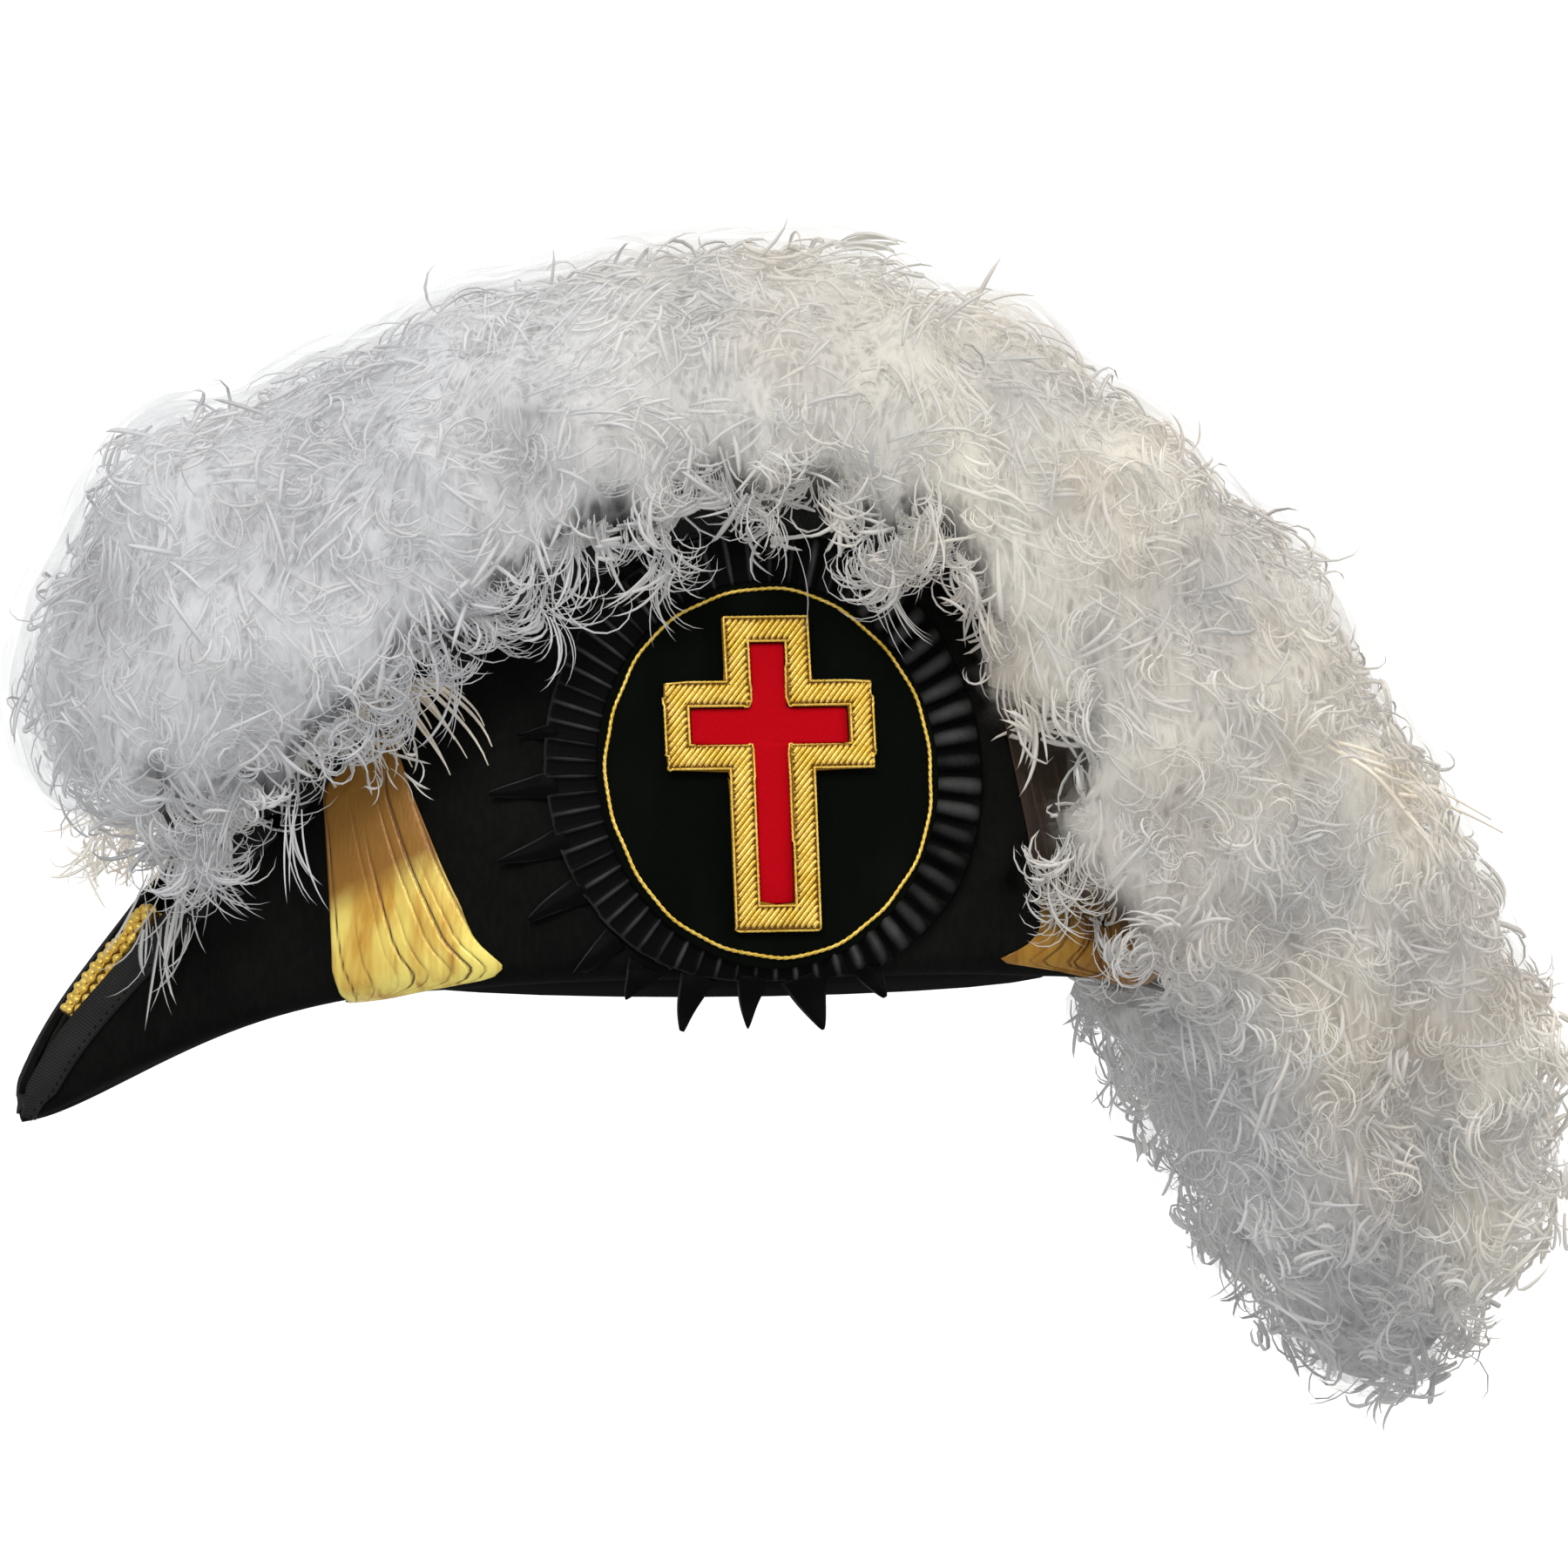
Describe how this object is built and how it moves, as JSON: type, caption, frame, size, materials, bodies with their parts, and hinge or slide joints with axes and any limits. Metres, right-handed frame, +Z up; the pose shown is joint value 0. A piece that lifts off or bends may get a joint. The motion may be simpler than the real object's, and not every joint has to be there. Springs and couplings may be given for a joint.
{
  "type": "plumed bicorne hat",
  "caption": "Black felt dress hat worn fore and aft, its brim turned up into two tall fans, with gold lace, a rosette badge and a long white plume.",
  "frame": {"origin": "middle of the head opening, in the plane of the rim", "axes": "+X towards the wearer's back, so the front beak points to -X; +Y towards the wearer's right, so the rosette faces -Y; +Z up"},
  "size_m": [0.4495, 0.1887, 0.3404],
  "materials": {
    "felt": "black fur felt with a short matt nap",
    "binding": "black ribbed ribbon with a faint sheen",
    "velvet": "black velvet, very matt",
    "gold_lace": "woven gold wire lace, bright and creased",
    "gold_bullion": "coiled gold wire, satin",
    "red_cloth": "red wool cloth, matt",
    "feather": "curled white ostrich feather, soft and matt"
  },
  "bodies": {
    "root": {"crown": "felt", "brim": "felt", "binding_left": "binding", "binding_right": "binding", "lace_front_left": "gold_lace", "lace_rear_left": "gold_lace", "lace_front_right": "gold_lace", "lace_rear_right": "gold_lace", "rosette_ribbon": "binding", "rosette_disc": "velvet", "rosette_ring": "gold_bullion", "cross_border": "gold_bullion", "cross_field": "red_cloth", "tassel_front": "gold_bullion", "plume": "feather"}
  },
  "joints": []
}
